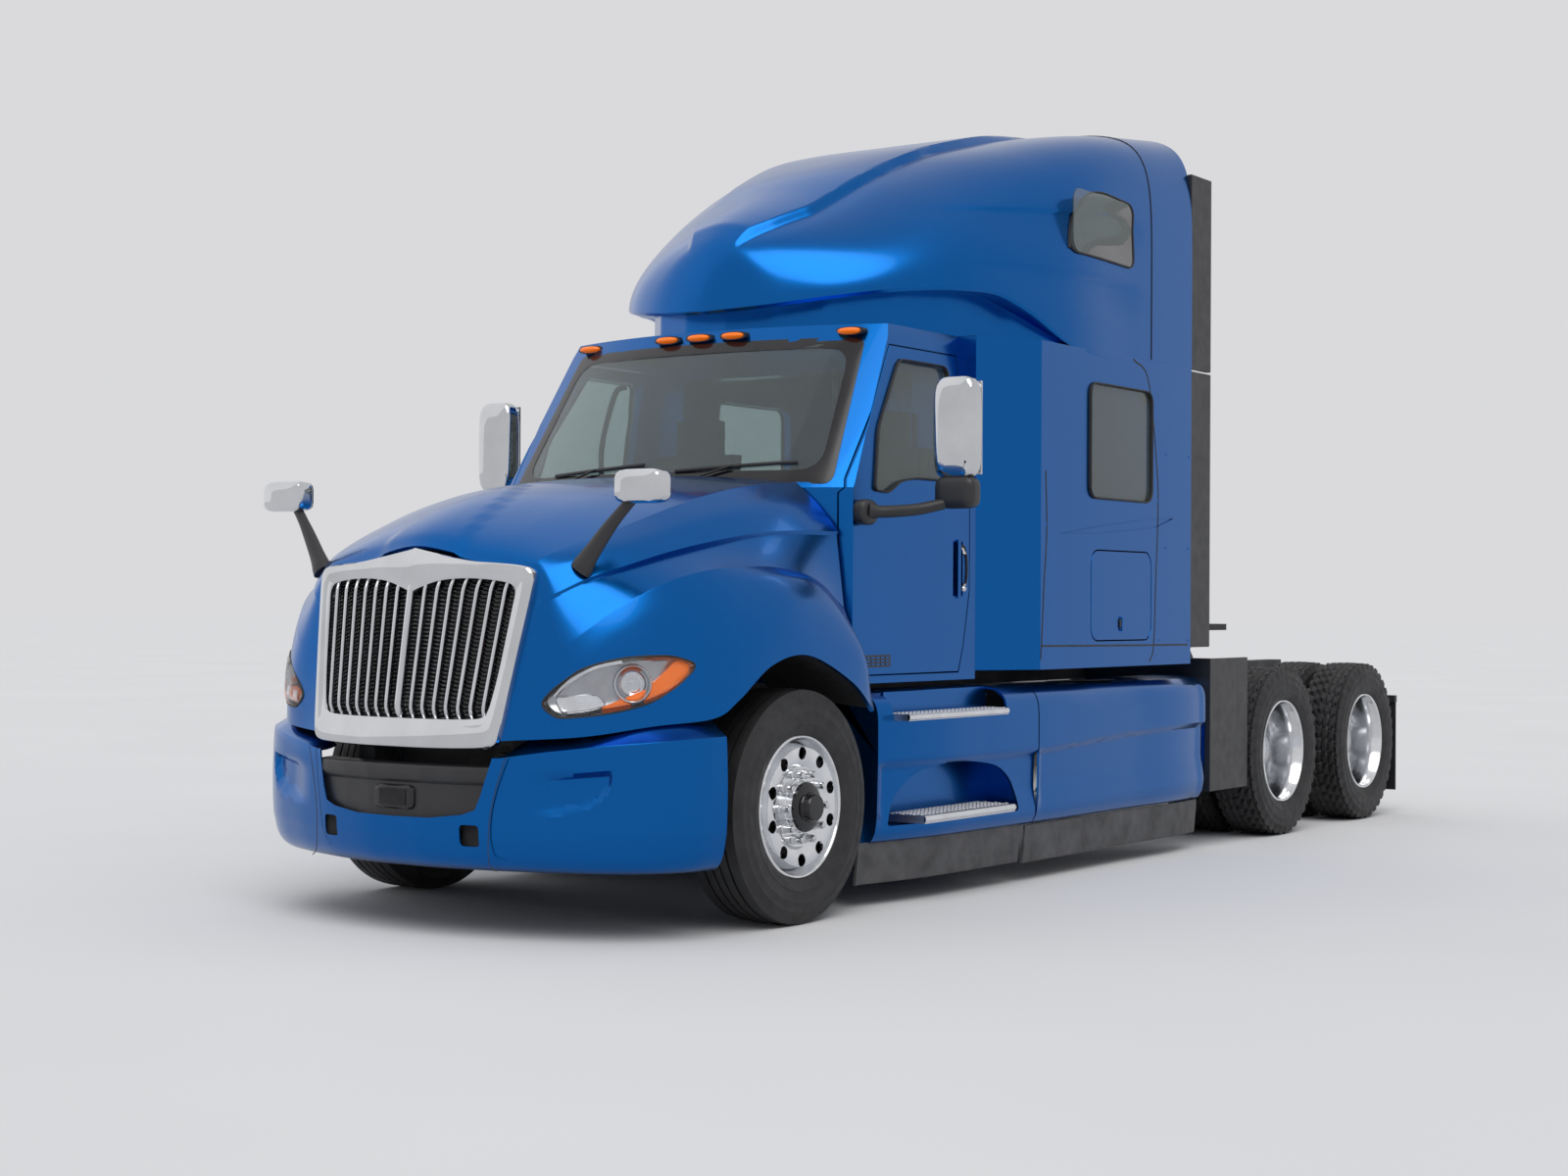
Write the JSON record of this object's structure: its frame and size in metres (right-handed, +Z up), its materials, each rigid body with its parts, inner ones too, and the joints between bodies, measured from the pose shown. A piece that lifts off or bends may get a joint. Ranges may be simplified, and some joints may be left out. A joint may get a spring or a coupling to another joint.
{
  "type": "semi truck tractor unit",
  "caption": "Conventional road tractor with high-roof sleeper, tilting hood, opening doors, steered front wheels, dual drive wheels and a tilting fifth wheel coupling.",
  "frame": {"origin": "on the ground under the middle of the overall length and width", "axes": "+Z up, nose towards -Y, +X towards the driver's side, +Y rearwards along the frame rails"},
  "size_m": [2.96, 8.195, 3.9896],
  "materials": {
    "blue_paint": "metallic gloss",
    "chassis_black": "satin",
    "axle_grey": "painted",
    "engine_grey": "painted",
    "polished_aluminium": "polished",
    "chrome": "polished",
    "tyre": "matt",
    "black_plastic": "grained",
    "black_rubber": "matt",
    "window_glass": "tinted",
    "lamp_clear": "clear",
    "lamp_amber": "clear amber",
    "lamp_red": "clear red",
    "trim_grey": "grained",
    "seat_fabric": "woven"
  },
  "bodies": {
    "chassis": {"frame": "chassis_black", "suspension": "chassis_black", "front_axle": "axle_grey", "drive_axles": "axle_grey", "powertrain": "engine_grey", "fuel_tanks": "polished_aluminium", "chassis_fairings": "blue_paint", "step_treads": "polished_aluminium", "skirts": "black_rubber", "mudguards": "black_plastic", "tail_lamps": "lamp_red", "fifth_wheel_mount": "chassis_black", "cab_shell": "blue_paint", "sleeper_shell": "blue_paint", "roof_fairing": "blue_paint", "windows": "window_glass", "side_extenders": "black_rubber", "marker_lamps": "lamp_amber", "dashboard": "trim_grey", "seats_and_bunk": "seat_fabric", "front_bumper": "blue_paint", "bumper_insert": "black_plastic"},
    "hood": {"hood": "blue_paint", "headlamps": "lamp_clear", "grille_surround": "chrome", "grille_bars": "chrome", "hood_mirrors": "chrome"},
    "steering_wheel": {"steering_wheel": "black_plastic"},
    "tie_rod": {"tie_rod": "axle_grey"},
    "fifth_wheel": {"fifth_wheel": "chassis_black"},
    "door_left": {"door_left": "blue_paint", "door_glass_left": "window_glass", "door_mirror_left": "chrome"},
    "hatch_left": {"hatch_left": "blue_paint"},
    "knuckle_left": {"knuckle_left": "axle_grey"},
    "front_wheel_left": {"front_wheel_left": "polished_aluminium", "front_tyre_left": "tyre"},
    "drive_wheels_fore_left": {"drive_wheel_fore_left": "polished_aluminium", "drive_tyres_fore_left": "tyre"},
    "drive_wheels_aft_left": {"drive_wheel_aft_left": "polished_aluminium", "drive_tyres_aft_left": "tyre"},
    "door_right": {"door_right": "blue_paint", "door_glass_right": "window_glass", "door_mirror_right": "chrome"},
    "hatch_right": {"hatch_right": "blue_paint"},
    "knuckle_right": {"knuckle_right": "axle_grey"},
    "front_wheel_right": {"front_wheel_right": "polished_aluminium", "front_tyre_right": "tyre"},
    "drive_wheels_fore_right": {"drive_wheel_fore_right": "polished_aluminium", "drive_tyres_fore_right": "tyre"},
    "drive_wheels_aft_right": {"drive_wheel_aft_right": "polished_aluminium", "drive_tyres_aft_right": "tyre"}
  },
  "joints": [
    {"name": "steer_left", "type": "hinge", "parent": "chassis", "child": "knuckle_left", "pos_m": [0.9, -2.8225, 0.5], "axis": [0, 0, 1], "range_deg": [-36, 36]},
    {"name": "steer_right", "type": "hinge", "parent": "chassis", "child": "knuckle_right", "pos_m": [-0.9, -2.8225, 0.5], "axis": [0, 0, 1], "range_deg": [-36, 36]},
    {"name": "tie_rod_end", "type": "hinge", "parent": "knuckle_left", "child": "tie_rod", "pos_m": [0.9, -2.6575, 0.352], "axis": [0, 0, 1], "range_deg": [-36, 36]},
    {"name": "steering_wheel_turn", "type": "hinge", "parent": "chassis", "child": "steering_wheel", "pos_m": [0.56, -1.8625, 1.76], "axis": [0, 0.5736, 0.8191], "range_deg": [-648, 648]},
    {"name": "front_wheel_spin_left", "type": "hinge", "parent": "knuckle_left", "child": "front_wheel_left", "pos_m": [1.032, -2.8225, 0.5], "axis": [1, 0, 0], "continuous": true},
    {"name": "drive_wheel_spin_fore_left", "type": "hinge", "parent": "chassis", "child": "drive_wheels_fore_left", "pos_m": [1.103, 2.1775, 0.5], "axis": [1, 0, 0], "continuous": true},
    {"name": "drive_wheel_spin_aft_left", "type": "hinge", "parent": "chassis", "child": "drive_wheels_aft_left", "pos_m": [1.103, 3.4975, 0.5], "axis": [1, 0, 0], "continuous": true},
    {"name": "door_swing_left", "type": "hinge", "parent": "chassis", "child": "door_left", "pos_m": [1.036, -2.3105, 1.6], "axis": [0, 0, -1], "range_deg": [0, 58]},
    {"name": "hatch_swing_left", "type": "hinge", "parent": "chassis", "child": "hatch_left", "pos_m": [1.206, -0.2785, 1.41], "axis": [0, 0, -1], "range_deg": [0, 95]},
    {"name": "front_wheel_spin_right", "type": "hinge", "parent": "knuckle_right", "child": "front_wheel_right", "pos_m": [-1.032, -2.8225, 0.5], "axis": [1, 0, 0], "continuous": true},
    {"name": "drive_wheel_spin_fore_right", "type": "hinge", "parent": "chassis", "child": "drive_wheels_fore_right", "pos_m": [-1.103, 2.1775, 0.5], "axis": [1, 0, 0], "continuous": true},
    {"name": "drive_wheel_spin_aft_right", "type": "hinge", "parent": "chassis", "child": "drive_wheels_aft_right", "pos_m": [-1.103, 3.4975, 0.5], "axis": [1, 0, 0], "continuous": true},
    {"name": "door_swing_right", "type": "hinge", "parent": "chassis", "child": "door_right", "pos_m": [-1.036, -2.3105, 1.6], "axis": [0, 0, 1], "range_deg": [0, 58]},
    {"name": "hatch_swing_right", "type": "hinge", "parent": "chassis", "child": "hatch_right", "pos_m": [-1.206, -0.2785, 1.41], "axis": [0, 0, 1], "range_deg": [0, 95]},
    {"name": "hood_tilt", "type": "hinge", "parent": "chassis", "child": "hood", "pos_m": [0, -4.0375, 0.757], "axis": [1, 0, 0], "range_deg": [0, 60]},
    {"name": "fifth_wheel_tilt", "type": "hinge", "parent": "chassis", "child": "fifth_wheel", "pos_m": [0, 2.5975, 1.13], "axis": [1, 0, 0], "range_deg": [-12, 12]}
  ],
  "couplings": [
    {"joint": "steer_right", "follows": "steer_left", "ratio": 1},
    {"joint": "tie_rod_end", "follows": "steer_left", "ratio": -1},
    {"joint": "steering_wheel_turn", "follows": "steer_left", "ratio": 18}
  ]
}
